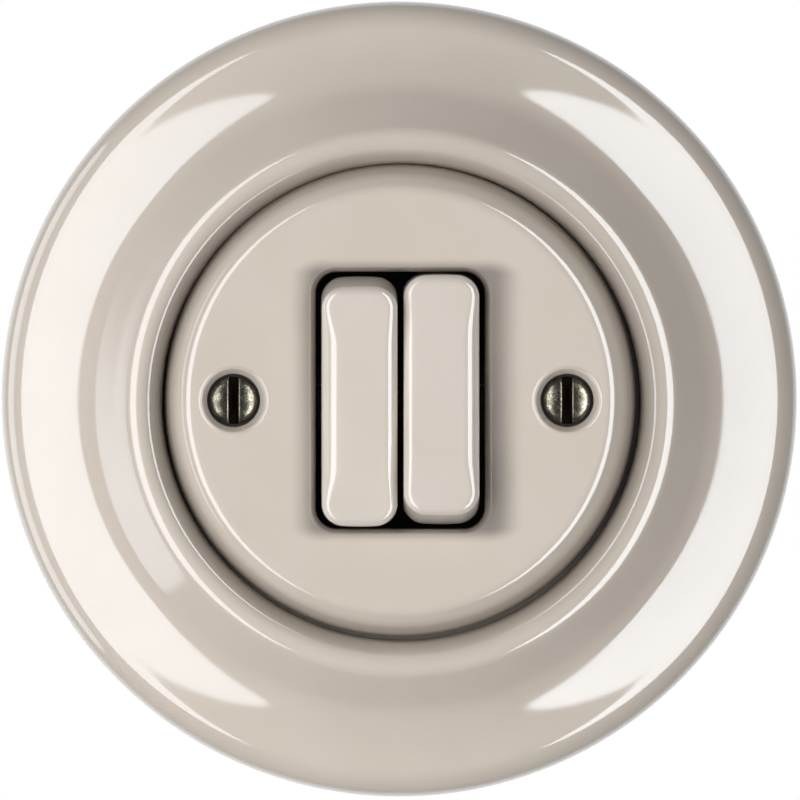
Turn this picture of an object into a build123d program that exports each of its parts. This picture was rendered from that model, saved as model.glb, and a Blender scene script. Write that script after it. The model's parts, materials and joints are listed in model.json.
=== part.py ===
from build123d import *
import os
from math import cos, radians, sin

# Flush light switch with a round porcelain frame, a porcelain cover disc and two rockers.
# Millimetres. The wall plane is y = 0, the front looks along -Y, up is +Z, and the
# origin is the centre of the wall plane. A height is a distance out from the wall
# plane towards the front, so a point at height h has y = -h, and what lies inside
# the wall has a negative height.

# Porcelain frame
FRAME_DIAMETER = 100.0
FRAME_EDGE_HEIGHT = 1.2
FRAME_WALL = 3.8
FRAME_FOOT_WIDTH = 4.5
LIP_WIDTH = 3.5
LIP_SLOPE = 23.0
SWEEP_SLOPE = 34.0
CURL_WIDTH = 3.2
CURL_SLOPE = 52.0
CONE_WIDTH = 2.1
CREST_OUTER_WIDTH = 2.3
CREST_INNER_WIDTH = 1.2
CREST_INNER_SLOPE = 35.0
CREST_WIDTH = 5.2
COLLAR_WALL = 3.6
LEDGE_WIDTH = 3.0
LEDGE_THICKNESS = 2.8

# Porcelain cover disc
COVER_DIAMETER = 58.7
COVER_GAP = 0.35
COVER_ABOVE_CREST = 1.5
COVER_THICKNESS = 4.2
COVER_EDGE_WIDTH = 3.3
COVER_EDGE_SLOPE = 71.0
COVER_DRAFT_WIDTH = 0.95
COVER_RIM_WALL = 3.8
COVER_RIM_HEIGHT = 9.5

# Rocker opening in the cover disc
OPENING_WIDTH = 21.0
OPENING_LENGTH = 32.0
OPENING_CORNER_RADIUS = 2.6
OPENING_EDGE_RADIUS = 1.1

# Cover screws and the posts that they screw into
SCREW_SPACING = 41.6
SCREW_DIAMETER = 2.9
SCREW_TIP_HEIGHT = 2.2
SCREW_HEAD_DIAMETER = 5.9
SCREW_HEAD_HEIGHT = 2.1
SCREW_HEAD_DEPTH = 1.0
SCREW_HEAD_EDGE = 0.45
SCREW_SLOT_WIDTH = 1.1
SCREW_SLOT_DEPTH = 1.0
RECESS_CLEARANCE = 0.35
RECESS_EDGE_RADIUS = 1.3
SCREW_HOLE_CLEARANCE = 0.3
BOSS_WALL = 2.6
BOSS_CLEARANCE = 0.3
POST_DIAMETER = 6.0
POST_THREAD_CLEARANCE = 0.05
POST_LENGTH = 7.0
POST_CLEARANCE = 0.3

# Rockers
ROCKER_WIDTH = 9.6
ROCKER_LENGTH = 31.5
ROCKER_FRONT_WIDTH = 9.4
ROCKER_FRONT_LENGTH = 29.1
ROCKER_BOW = 0.35
ROCKER_CORNER_RADIUS = 2.8
ROCKER_EDGE_RADIUS = 2.3
ROCKER_ABOVE_COVER = 3.5
ROCKER_SPACING = 10.2
ROCKER_WALL = 1.9
ROCKER_FACE_WALL = 2.2
ROCKER_TILT = 4.5

# Rocker axle
AXLE_DIAMETER = 2.0
AXLE_DEPTH = 2.6
AXLE_FIT = 0.02
AXLE_RUNNING_CLEARANCE = 0.05
AXLE_OVERHANG = 0.3

# Support plate
PLATE_DIAMETER = 71.0
PLATE_THICKNESS = 1.2
BOX_SCREW_CIRCLE_DIAMETER = 60.0
BOX_SCREW_HOLE_DIAMETER = 4.2
WINDOW_CLEARANCE = 0.3

# Insulating base block
BASE_WIDTH = 34.0
BASE_LENGTH = 40.0
BASE_CORNER_RADIUS = 3.0
BASE_DEPTH = 25.2
BASE_WALL = 2.6
CHAMBER_DEPTH = 10.2
RIB_WIDTH = 1.6
RIB_GAP = 1.2
TERMINAL_BACK_DEPTH = 2.0

# Bearing frame that carries the axle
BEARING_PLATE_THICKNESS = 2.2
BEARING_PLATE_OVERLAP = 4.0
BEARING_WINDOW_WIDTH = 8.4
BEARING_WINDOW_LENGTH = 14.0
EAR_THICKNESS = 2.0
EAR_FOOT_LENGTH = 9.0
EAR_FOOT_HEIGHT = 5.0
EAR_CAP = 0.9
MIDDLE_EAR_THICKNESS = 1.0
EAR_CLEARANCE = 0.45

# Fixings of the bearing frame
RIVET_DIAMETER = 2.4
RIVET_HEAD_DIAMETER = 4.2
RIVET_HEAD_HEIGHT = 0.9
RIVET_CLEARANCE = 0.05
FIXING_DIAMETER = 2.4
FIXING_LENGTH = 9.0
FIXING_HEAD_DIAMETER = 4.2
FIXING_HEAD_HEIGHT = 1.3
FIXING_BOSS_WALL = 1.0
FIXING_THREAD_CLEARANCE = 0.05
FIXING_HOLE_CLEARANCE = 0.3
FIXING_INSET = 3.3
FIXING_SLOT_WIDTH = 0.7
FIXING_SLOT_DEPTH = 0.6

# Rocker carriers
CARRIER_LENGTH = 22.0
CARRIER_THICKNESS = 1.8
CARRIER_HUB_WALL = 1.6
PLUG_CLEARANCE = 0.15
PLUG_LENGTH = 20.0
PLUG_HEIGHT = 5.0
PLUG_GROOVE_WIDTH = 2.2
STEM_WALL = 0.9
STEM_LENGTH = 9.5
CHAMBER_ROOF = 0.7

# Plungers and their springs
PLUNGER_DIAMETER = 3.8
PLUNGER_CLEARANCE = 0.1
PLUNGER_LENGTH = 6.3
PLUNGER_TIP_RADIUS = 1.5
SPRING_WIRE = 0.4
SPRING_TURNS = 5.0
SPRING_SEAT_CLEARANCE = 0.1

# See-saw contact blades
BLADE_THICKNESS = 0.8
BLADE_WIDTH = 5.0
BLADE_LENGTH = 20.0
BLADE_TILT = 6.0
BLADE_BEHIND_WALL = 1.0
BLADE_GROOVE_DEPTH = 0.35
BLADE_GROOVE_WIDTH = 1.2
BLADE_END_RADIUS = 1.0
TIP_CLEARANCE = 0.25
KNIFE_CLEARANCE = 0.1
KNIFE_THICKNESS = 1.0
KNIFE_HALF_ANGLE = 30.0
CONTACT_DIAMETER = 2.6
CONTACT_HEIGHT = 0.6
CONTACT_GAP = 0.15
CONTACT_INSET = 1.5
CONTACT_MARGIN = 0.2
STOP_WIDTH = 4.0
STOP_LENGTH = 3.0
STOP_MARGIN = 0.8
STOP_CLEARANCE = 0.25

# Brass strip and terminals
STRIP_THICKNESS = 0.8
COMMON_WIDTH = 6.0
LEG_WIDTH = 4.0
LEG_SLOT_CLEARANCE = 0.2
TERMINAL_WIDTH = 7.0
TERMINAL_HEIGHT = 5.2
TERMINAL_LENGTH = 8.0
TERMINAL_CLEARANCE = 0.15
TERMINAL_INSET = 3.4
WIRE_HOLE_DIAMETER = 3.2
WIRE_HOLE_LENGTH = 7.0
CLAMP_SCREW_DIAMETER = 2.5
CLAMP_SCREW_HEAD_DIAMETER = 3.8
CLAMP_SCREW_HEAD_HEIGHT = 1.2
CLAMP_SCREW_LENGTH = 2.65
CLAMP_SCREW_TIP_GAP = 0.15
CLAMP_SCREW_CLEARANCE = 0.05
DRIVER_CLEARANCE = 0.4

# A half section is drawn as radius and height, a side profile as height up the wall
# and height out from it
SECTION = Plane(origin=(0, 0, 0), x_dir=(1, 0, 0), z_dir=(0, 0, -1))
PROFILE = Plane(origin=(0, 0, 0), x_dir=(0, 0, 1), z_dir=(1, 0, 0))


# Shapes that the pieces are made of


def block(across, height, up):
    """Box between two limits across the wall, out from it and up it."""
    size = [across[1] - across[0], height[1] - height[0], up[1] - up[0]]
    centre = Pos(sum(across) / 2, -sum(height) / 2, sum(up) / 2)
    return centre * Box(*size)


def rod(across, up, radius, height):
    """Round rod along the depth of the switch, between two heights."""
    centre = Pos(across, -sum(height) / 2, up)
    return centre * Rot(90, 0, 0) * Cylinder(radius, height[1] - height[0])


def cross_rod(height, radius, across):
    """Round rod along X, between two limits across."""
    centre = Pos(sum(across) / 2, -height, 0)
    return centre * Rot(0, 90, 0) * Cylinder(radius, across[1] - across[0])


def upright_rod(across, height, radius, up):
    """Round rod along Z, between two limits up the wall."""
    return Pos(across, -height, sum(up) / 2) * Cylinder(radius, up[1] - up[0])


def plate(width, length, corner, height, across=0.0, up=0.0):
    """Rounded rectangle parallel to the wall, between two heights."""
    outline = RectangleRounded(width, length, corner)
    face = Plane.XZ.offset(height[0]) * Pos(across, up) * outline
    return extrude(face, amount=height[1] - height[0])


def profile_bar(points, across):
    """Bar along X, between two limits across, with a side profile of points."""
    face = PROFILE.offset(across[0]) * make_face(Polyline(*points, close=True))
    return extrude(face, amount=across[1] - across[0])


def turned(edges):
    """Solid of revolution about the depth axis from a half section's edges."""
    return revolve(SECTION * make_face(edges), axis=Axis.Y)


def slope_arc(start, from_slope, to_slope, width):
    """Arc that runs inwards by width while its slope changes, in degrees."""
    radius = width / abs(sin(radians(to_slope)) - sin(radians(from_slope)))
    heading = radians(180 - from_slope)
    tangent = (cos(heading), sin(heading))
    return JernArc(start, tangent, radius, from_slope - to_slope)


def slope_line(start, slope, width):
    """Straight line that runs inwards by width at a slope in degrees."""
    rise = width * sin(radians(slope)) / cos(radians(slope))
    return Line(start, (start[0] - width, start[1] + rise))


def inside(edge, slope, wall):
    """Point a wall's thickness behind the end of a section's edge."""
    end = edge @ 1
    return (end.X - wall * sin(radians(slope)), end.Y - wall * cos(radians(slope)))


def point(edge):
    """End of a section's edge, as radius and height."""
    end = edge @ 1
    return (end.X, end.Y)


def spun(shape, angle, height):
    """Shape turned about the X direction, on the axis at a height above y = 0."""
    return Pos(0, -height, 0) * Rot(angle, 0, 0) * Pos(0, height, 0) * shape


# Radii and heights that pieces share

COVER_RADIUS = COVER_DIAMETER / 2
FRAME_BORE_RADIUS = COVER_RADIUS + COVER_GAP
FRAME_RADIUS = FRAME_DIAMETER / 2
CREST_RADIUS = FRAME_BORE_RADIUS + CREST_WIDTH - CREST_OUTER_WIDTH
INNER_ROLL_WIDTH = CREST_RADIUS - CREST_INNER_WIDTH - FRAME_BORE_RADIUS
SWEEP_WIDTH = (
    FRAME_RADIUS - LIP_WIDTH - CURL_WIDTH - CONE_WIDTH - FRAME_BORE_RADIUS - CREST_WIDTH
)


def frame_slopes():
    """Edges of the frame's front, from its outer edge in to its bore."""
    lip = slope_arc((FRAME_RADIUS, FRAME_EDGE_HEIGHT), 90, LIP_SLOPE, LIP_WIDTH)
    sweep = slope_arc(point(lip), LIP_SLOPE, SWEEP_SLOPE, SWEEP_WIDTH)
    curl = slope_arc(point(sweep), SWEEP_SLOPE, CURL_SLOPE, CURL_WIDTH)
    cone = slope_line(point(curl), CURL_SLOPE, CONE_WIDTH)
    crest = slope_arc(point(cone), CURL_SLOPE, 0, CREST_OUTER_WIDTH)
    shoulder = slope_arc(point(crest), 0, -CREST_INNER_SLOPE, CREST_INNER_WIDTH)
    roll = slope_arc(point(shoulder), -CREST_INNER_SLOPE, -90, INNER_ROLL_WIDTH)
    return lip, sweep, curl, cone, crest, shoulder, roll


CREST_HEIGHT = point(frame_slopes()[4])[1]
FACE_HEIGHT = CREST_HEIGHT + COVER_ABOVE_CREST
COVER_UNDERSIDE = FACE_HEIGHT - COVER_THICKNESS
LEDGE_HEIGHT = FACE_HEIGHT - COVER_RIM_HEIGHT
HEAD_TOP = FACE_HEIGHT - SCREW_HEAD_DEPTH
HEAD_SEAT = HEAD_TOP - SCREW_HEAD_HEIGHT
POST_TOP = PLATE_THICKNESS + POST_LENGTH
AXLE_RADIUS = AXLE_DIAMETER / 2
AXLE_HEIGHT = COVER_UNDERSIDE - AXLE_DEPTH
ROCKER_TOP = FACE_HEIGHT + ROCKER_ABOVE_COVER
ROCKER_BOTTOM = COVER_UNDERSIDE
ROCKER_CENTRE = ROCKER_SPACING / 2
SIDES = {"left": -1, "right": 1}

# Rocker drive: reach across, radii and heights
CARRIER_REACH = ROCKER_CENTRE - MIDDLE_EAR_THICKNESS / 2 - EAR_CLEARANCE
PLUNGER_RADIUS = PLUNGER_DIAMETER / 2
STEM_BORE_RADIUS = PLUNGER_RADIUS + PLUNGER_CLEARANCE
STEM_BOTTOM = AXLE_HEIGHT - STEM_LENGTH
SPRING_ROOF = AXLE_HEIGHT - AXLE_RADIUS - AXLE_RUNNING_CLEARANCE - CHAMBER_ROOF
HUB_RADIUS = AXLE_RADIUS + CARRIER_HUB_WALL
BEARING_TOP = PLATE_THICKNESS + BEARING_PLATE_THICKNESS
BASE_BACK = PLATE_THICKNESS - BASE_DEPTH
CHAMBER_FLOOR = PLATE_THICKNESS - CHAMBER_DEPTH
BLADE_TOP = -BLADE_BEHIND_WALL
BLADE_UNDER = BLADE_TOP - BLADE_THICKNESS
BLADE_AXIS = BLADE_UNDER + BLADE_GROOVE_DEPTH - KNIFE_CLEARANCE
PLUNGER_TIP = BLADE_TOP + TIP_CLEARANCE
PLUNGER_TOP = PLUNGER_TIP + PLUNGER_LENGTH
EAR_INNER = ROCKER_CENTRE + CARRIER_REACH + EAR_CLEARANCE
EAR_OUTER = EAR_INNER + EAR_THICKNESS

# Contacts and terminals: places up the wall and heights
CONTACT_UP = BLADE_LENGTH / 2 - CONTACT_INSET
CONTACT_DIP = (CONTACT_UP + CONTACT_DIAMETER / 2) * sin(radians(BLADE_TILT))
FIXED_TOP = BLADE_UNDER - CONTACT_HEIGHT - CONTACT_DIP - CONTACT_GAP
TERMINAL_UP = BASE_LENGTH / 2 - TERMINAL_INSET - TERMINAL_HEIGHT / 2
LEG_OUTER = TERMINAL_UP - TERMINAL_HEIGHT / 2
LEG_INNER = LEG_OUTER - STRIP_THICKNESS
TERMINAL_BACK = BASE_BACK + TERMINAL_BACK_DEPTH
TERMINAL_FRONT = TERMINAL_BACK + TERMINAL_LENGTH
STRIP_TOP = CHAMBER_FLOOR + STRIP_THICKNESS
CLAMP_HEIGHT = TERMINAL_BACK + WIRE_HOLE_LENGTH / 2
TERMINALS = {
    "common": (0, 1),
    "left": (-ROCKER_CENTRE, -1),
    "right": (ROCKER_CENTRE, -1),
}


# Porcelain


def frame_ring():
    """Moulded frame, hollow behind, with a ledge that the cover disc sits on."""
    slopes = frame_slopes()
    lip, sweep, curl = slopes[:3]
    ledge_radius = FRAME_BORE_RADIUS - LEDGE_WIDTH
    ledge_bottom = LEDGE_HEIGHT - LEDGE_THICKNESS
    collar_radius = FRAME_BORE_RADIUS + COLLAR_WALL
    roof = inside(curl, CURL_SLOPE, FRAME_WALL)
    back = Polyline(
        point(slopes[-1]),
        (FRAME_BORE_RADIUS, LEDGE_HEIGHT),
        (ledge_radius, LEDGE_HEIGHT),
        (ledge_radius, ledge_bottom),
        (collar_radius, ledge_bottom),
        (collar_radius, roof[1]),
        roof,
        inside(sweep, SWEEP_SLOPE, FRAME_WALL),
        inside(lip, LIP_SLOPE, FRAME_WALL),
        (FRAME_RADIUS - FRAME_FOOT_WIDTH, 0),
        (FRAME_RADIUS, 0),
        (FRAME_RADIUS, FRAME_EDGE_HEIGHT),
    )
    return turned([*slopes, back])


def cover_blank():
    """Cover disc before its openings are cut."""
    edge_radius = COVER_EDGE_WIDTH / sin(radians(COVER_EDGE_SLOPE))
    edge_drop = edge_radius * (1 - cos(radians(COVER_EDGE_SLOPE)))
    slope = radians(COVER_EDGE_SLOPE)
    side_drop = COVER_DRAFT_WIDTH * sin(slope) / cos(slope)
    side_top = (COVER_RADIUS, FACE_HEIGHT - edge_drop - side_drop)
    side = slope_line(side_top, COVER_EDGE_SLOPE, COVER_DRAFT_WIDTH)
    edge = slope_arc(point(side), COVER_EDGE_SLOPE, 0, COVER_EDGE_WIDTH)
    inner_radius = COVER_RADIUS - COVER_RIM_WALL
    under = Polyline(
        point(edge),
        (0, FACE_HEIGHT),
        (0, COVER_UNDERSIDE),
        (inner_radius, COVER_UNDERSIDE),
        (inner_radius, LEDGE_HEIGHT),
        (COVER_RADIUS, LEDGE_HEIGHT),
        side_top,
    )
    return turned([side, edge, under])


def face_holes(disc):
    """Edges of the holes in the front face of the cover disc."""
    front = disc.faces().filter_by(Axis.Y).sort_by(Axis.Y)[0]
    return ShapeList(e for wire in front.inner_wires() for e in wire.edges())


def cover_disc():
    """Cover disc with the rocker opening and the two screw recesses."""
    disc = cover_blank()
    through = (LEDGE_HEIGHT, ROCKER_TOP)
    disc -= plate(OPENING_WIDTH, OPENING_LENGTH, OPENING_CORNER_RADIUS, through)
    disc = fillet(face_holes(disc), OPENING_EDGE_RADIUS)
    hole_radius = SCREW_DIAMETER / 2 + SCREW_HOLE_CLEARANCE
    recess_radius = SCREW_HEAD_DIAMETER / 2 + RECESS_CLEARANCE
    boss_bottom = POST_TOP + BOSS_CLEARANCE
    for side in SIDES.values():
        across = side * SCREW_SPACING / 2
        disc += rod(across, 0, hole_radius + BOSS_WALL, (boss_bottom, COVER_UNDERSIDE))
        disc -= rod(across, 0, hole_radius, (0, HEAD_SEAT))
        disc -= rod(across, 0, recess_radius, (HEAD_SEAT, ROCKER_TOP))
    rims = face_holes(disc).filter_by(lambda edge: edge.is_closed)
    return fillet(rims, RECESS_EDGE_RADIUS)


def rocker_outline(width, length):
    """Plan of a rocker: straight sides, bowed ends and round corners."""
    across = width / 2
    end = length / 2
    side = end - ROCKER_BOW
    edges = [
        Line((across, -side), (across, side)),
        ThreePointArc((across, side), (0, end), (-across, side)),
        Line((-across, side), (-across, -side)),
        ThreePointArc((-across, -side), (0, -end), (across, -side)),
    ]
    face = make_face(edges)
    return fillet(face.vertices(), ROCKER_CORNER_RADIUS)


def rocker_cap(side):
    """Hollow porcelain rocker in its middle position."""
    back = rocker_outline(ROCKER_WIDTH, ROCKER_LENGTH)
    front = rocker_outline(ROCKER_FRONT_WIDTH, ROCKER_FRONT_LENGTH)
    back = Plane.XZ.offset(ROCKER_BOTTOM) * back
    front = Plane.XZ.offset(ROCKER_TOP) * front
    cap = loft([back, front], ruled=True)
    front = cap.faces().sort_by(Axis.Y)[0]
    cap = fillet(front.edges(), ROCKER_EDGE_RADIUS)
    cap -= plate(
        ROCKER_WIDTH - 2 * ROCKER_WALL,
        ROCKER_LENGTH - 2 * ROCKER_WALL,
        ROCKER_CORNER_RADIUS / 2,
        (ROCKER_BOTTOM, ROCKER_TOP - ROCKER_FACE_WALL),
    )
    return Pos(side * ROCKER_CENTRE, 0, 0) * cap


# Rocker drive


def rocker_carrier(side):
    """Plastic carrier that plugs into a rocker and turns on the axle."""
    across = side * ROCKER_CENTRE
    sides = (across - CARRIER_REACH, across + CARRIER_REACH)
    flange = (ROCKER_BOTTOM - CARRIER_THICKNESS, ROCKER_BOTTOM)
    carrier = block(sides, flange, (-CARRIER_LENGTH / 2, CARRIER_LENGTH / 2))
    carrier += cross_rod(AXLE_HEIGHT, HUB_RADIUS, sides)
    plug_width = ROCKER_WIDTH - 2 * ROCKER_WALL - 2 * PLUG_CLEARANCE
    plug = plate(
        plug_width,
        PLUG_LENGTH,
        ROCKER_CORNER_RADIUS / 2,
        (ROCKER_BOTTOM, ROCKER_BOTTOM + PLUG_HEIGHT),
        across,
    )
    groove = (-PLUG_GROOVE_WIDTH / 2, PLUG_GROOVE_WIDTH / 2)
    plug -= block(sides, (ROCKER_BOTTOM + PLUG_HEIGHT / 2, ROCKER_TOP), groove)
    carrier += plug
    stem_radius = STEM_BORE_RADIUS + STEM_WALL
    carrier += rod(across, 0, stem_radius, (STEM_BOTTOM, AXLE_HEIGHT))
    carrier -= rod(across, 0, STEM_BORE_RADIUS, (STEM_BOTTOM, SPRING_ROOF))
    bore = AXLE_RADIUS + AXLE_RUNNING_CLEARANCE
    return carrier - cross_rod(AXLE_HEIGHT, bore, sides)


def plunger(side):
    """Round plunger with a domed tip that rides on the see-saw blade."""
    across = side * ROCKER_CENTRE
    body = rod(across, 0, PLUNGER_RADIUS, (PLUNGER_TIP, PLUNGER_TOP))
    tip = body.edges().filter_by(GeomType.CIRCLE).sort_by(Axis.Y)[-1]
    return fillet(tip, PLUNGER_TIP_RADIUS)


def plunger_spring(side):
    """Helical spring between the carrier's chamber and the plunger."""
    low = PLUNGER_TOP + SPRING_SEAT_CLEARANCE + SPRING_WIRE / 2
    high = SPRING_ROOF - SPRING_SEAT_CLEARANCE - SPRING_WIRE / 2
    height = high - low
    radius = STEM_BORE_RADIUS - PLUNGER_CLEARANCE - SPRING_WIRE
    path = Helix(height / SPRING_TURNS, height, radius)
    wire = Plane(origin=path @ 0, z_dir=path % 0) * Circle(SPRING_WIRE / 2)
    coil = sweep(wire, path=path, is_frenet=True)
    return Pos(side * ROCKER_CENTRE, -low, 0) * Rot(90, 0, 0) * coil


def see_saw(side):
    """Contact blade that rocks on a knife edge, in its middle position."""
    across = side * ROCKER_CENTRE
    sides = (across - BLADE_WIDTH / 2, across + BLADE_WIDTH / 2)
    half, groove = BLADE_LENGTH / 2, BLADE_GROOVE_WIDTH / 2
    outline = [
        (-half, BLADE_UNDER),
        (-groove, BLADE_UNDER),
        (0, BLADE_UNDER + BLADE_GROOVE_DEPTH),
        (groove, BLADE_UNDER),
        (half, BLADE_UNDER),
        (half, BLADE_TOP),
        (-half, BLADE_TOP),
    ]
    blade = profile_bar(outline, sides)
    ends = blade.edges().filter_by(Axis.Y)
    blade = fillet(ends, BLADE_END_RADIUS)
    rivet = (BLADE_UNDER - CONTACT_HEIGHT, BLADE_UNDER)
    return blade + rod(across, -CONTACT_UP, CONTACT_DIAMETER / 2, rivet)


# Contacts and terminals

def up_range(direction, near, far):
    """Limits up the wall of something near to far from the centre, above or below."""
    return (near, far) if direction > 0 else (-far, -near)


def contact_leg(across, direction, top):
    """Upright end of a brass strip, down through the floor to its terminal."""
    sides = (across - LEG_WIDTH / 2, across + LEG_WIDTH / 2)
    up = up_range(direction, LEG_INNER, LEG_OUTER)
    return block(sides, (TERMINAL_BACK, top), up)


def common_contact():
    """Brass strip with a knife edge for each see-saw, and the common leg."""
    reach = ROCKER_CENTRE + BLADE_WIDTH / 2
    flat = (CHAMBER_FLOOR, STRIP_TOP)
    contact = block((-reach, reach), flat, (-COMMON_WIDTH / 2, COMMON_WIDTH / 2))
    contact += block((-LEG_WIDTH / 2, LEG_WIDTH / 2), flat, (0, LEG_OUTER))
    contact += contact_leg(0, 1, STRIP_TOP)
    half = KNIFE_THICKNESS / 2
    shoulder = BLADE_AXIS - half / sin(radians(KNIFE_HALF_ANGLE)) * cos(
        radians(KNIFE_HALF_ANGLE)
    )
    edge = [
        (-half, CHAMBER_FLOOR),
        (half, CHAMBER_FLOOR),
        (half, shoulder),
        (0, BLADE_AXIS),
        (-half, shoulder),
    ]
    for side in SIDES.values():
        across = side * ROCKER_CENTRE
        sides = (across - BLADE_WIDTH / 2, across + BLADE_WIDTH / 2)
        contact += profile_bar(edge, sides)
    return contact


def fixed_contact(side):
    """Brass strip under the end of a see-saw, with its contact rivet."""
    across = side * ROCKER_CENTRE
    sides = (across - BLADE_WIDTH / 2, across + BLADE_WIDTH / 2)
    pad_top = FIXED_TOP - CONTACT_HEIGHT
    pad = (pad_top - STRIP_THICKNESS, pad_top)
    inner = CONTACT_UP - CONTACT_DIAMETER / 2 - CONTACT_MARGIN
    contact = block(sides, pad, up_range(-1, inner, LEG_OUTER))
    contact += rod(across, -CONTACT_UP, CONTACT_DIAMETER / 2, (pad_top, FIXED_TOP))
    return contact + contact_leg(across, -1, pad_top)


def terminal(place):
    """Brass terminal block with a wire hole from behind and a clamp screw hole."""
    across, direction = place
    sides = (across - TERMINAL_WIDTH / 2, across + TERMINAL_WIDTH / 2)
    near = TERMINAL_UP - TERMINAL_HEIGHT / 2
    far = TERMINAL_UP + TERMINAL_HEIGHT / 2
    body = block(sides, (TERMINAL_BACK, TERMINAL_FRONT), up_range(direction, near, far))
    hole = (TERMINAL_BACK, TERMINAL_BACK + WIRE_HOLE_LENGTH)
    body -= rod(across, direction * TERMINAL_UP, WIRE_HOLE_DIAMETER / 2, hole)
    bore = CLAMP_SCREW_DIAMETER / 2 + CLAMP_SCREW_CLEARANCE
    return body - upright_rod(
        across, CLAMP_HEIGHT, bore, up_range(direction, TERMINAL_UP, far)
    )


def clamp_screw(place):
    """Slotted screw that clamps the wire in its terminal."""
    across, direction = place
    tip = TERMINAL_UP + WIRE_HOLE_DIAMETER / 2 + CLAMP_SCREW_TIP_GAP
    seat = tip + CLAMP_SCREW_LENGTH
    top = seat + CLAMP_SCREW_HEAD_HEIGHT
    shank = up_range(direction, tip, seat)
    head = up_range(direction, seat, top)
    screw = upright_rod(across, CLAMP_HEIGHT, CLAMP_SCREW_DIAMETER / 2, shank)
    screw += upright_rod(across, CLAMP_HEIGHT, CLAMP_SCREW_HEAD_DIAMETER / 2, head)
    slot = (CLAMP_HEIGHT - FIXING_SLOT_WIDTH / 2, CLAMP_HEIGHT + FIXING_SLOT_WIDTH / 2)
    depth = up_range(direction, top - FIXING_SLOT_DEPTH, top)
    return screw - block((across - LEG_WIDTH, across + LEG_WIDTH), slot, depth)


# Carrying parts


def base_block():
    """Insulating block with the contact chamber in front and terminals behind."""
    body = plate(BASE_WIDTH, BASE_LENGTH, BASE_CORNER_RADIUS, (BASE_BACK, PLATE_THICKNESS))
    chamber = (CHAMBER_FLOOR, PLATE_THICKNESS)
    width = BASE_WIDTH - 2 * BASE_WALL
    length = BASE_LENGTH - 2 * BASE_WALL
    body -= plate(width, length, BASE_CORNER_RADIUS / 2, chamber)
    rib = (CHAMBER_FLOOR + RIB_GAP, PLATE_THICKNESS)
    body += block((-RIB_WIDTH / 2, RIB_WIDTH / 2), rib, (-length / 2, length / 2))
    body += [blade_stop(side) for side in SIDES.values()]
    for across, up in fixing_places():
        boss = FIXING_DIAMETER / 2 + FIXING_BOSS_WALL
        body += rod(across, up, boss, chamber)
        bore = FIXING_DIAMETER / 2 + FIXING_THREAD_CLEARANCE
        body -= rod(across, up, bore, (CHAMBER_FLOOR, PLATE_THICKNESS))
    for place in TERMINALS.values():
        body -= terminal_pocket(place)
    return body


def blade_stop(side):
    """Ledge on the chamber floor that stops a see-saw when its contact is open."""
    across = side * ROCKER_CENTRE
    sides = (across - STOP_WIDTH / 2, across + STOP_WIDTH / 2)
    top = BLADE_UNDER - BLADE_LENGTH / 2 * sin(radians(BLADE_TILT)) - STOP_CLEARANCE
    reach = BLADE_LENGTH / 2 + STOP_MARGIN
    return block(sides, (CHAMBER_FLOOR, top), (reach - STOP_LENGTH, reach))


def terminal_pocket(place):
    """Space for a terminal, with its strip's slot and its screw's driver hole."""
    across, direction = place
    half = TERMINAL_WIDTH / 2 + TERMINAL_CLEARANCE
    sides = (across - half, across + half)
    near = LEG_INNER - TERMINAL_CLEARANCE
    far = TERMINAL_UP + TERMINAL_HEIGHT / 2 + TERMINAL_CLEARANCE
    depth = (BASE_BACK, TERMINAL_FRONT + TERMINAL_CLEARANCE)
    pocket = block(sides, depth, up_range(direction, near, far))
    half = LEG_WIDTH / 2 + LEG_SLOT_CLEARANCE
    up = up_range(direction, LEG_INNER - LEG_SLOT_CLEARANCE, LEG_OUTER + LEG_SLOT_CLEARANCE)
    pocket += block((across - half, across + half), (TERMINAL_BACK, CHAMBER_FLOOR), up)
    driver = CLAMP_SCREW_HEAD_DIAMETER / 2 + DRIVER_CLEARANCE
    wall = up_range(direction, TERMINAL_UP, BASE_LENGTH / 2)
    return pocket + upright_rod(across, CLAMP_HEIGHT, driver, wall)


def fixing_places():
    """Places of the two fixing screws, across and up."""
    across = BASE_WIDTH / 2 - FIXING_INSET
    up = BASE_LENGTH / 2 - FIXING_INSET
    return [(-across, up), (across, -up)]


def rivet_places():
    """Places of the two rivets, across and up."""
    up = BASE_LENGTH / 2 + WINDOW_CLEARANCE + BEARING_PLATE_OVERLAP / 2
    return [(0, up), (0, -up)]


def axle_ear(across):
    """Ear of the bearing frame between two limits across, without its bore."""
    half = AXLE_RADIUS + EAR_CAP
    foot = EAR_FOOT_LENGTH / 2
    shoulder = BEARING_TOP + EAR_FOOT_HEIGHT
    outline = [
        (-foot, PLATE_THICKNESS),
        (foot, PLATE_THICKNESS),
        (foot, BEARING_TOP),
        (half, shoulder),
        (half, AXLE_HEIGHT),
        (-half, AXLE_HEIGHT),
        (-half, shoulder),
        (-foot, BEARING_TOP),
    ]
    return profile_bar(outline, across) + cross_rod(AXLE_HEIGHT, half, across)


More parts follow.
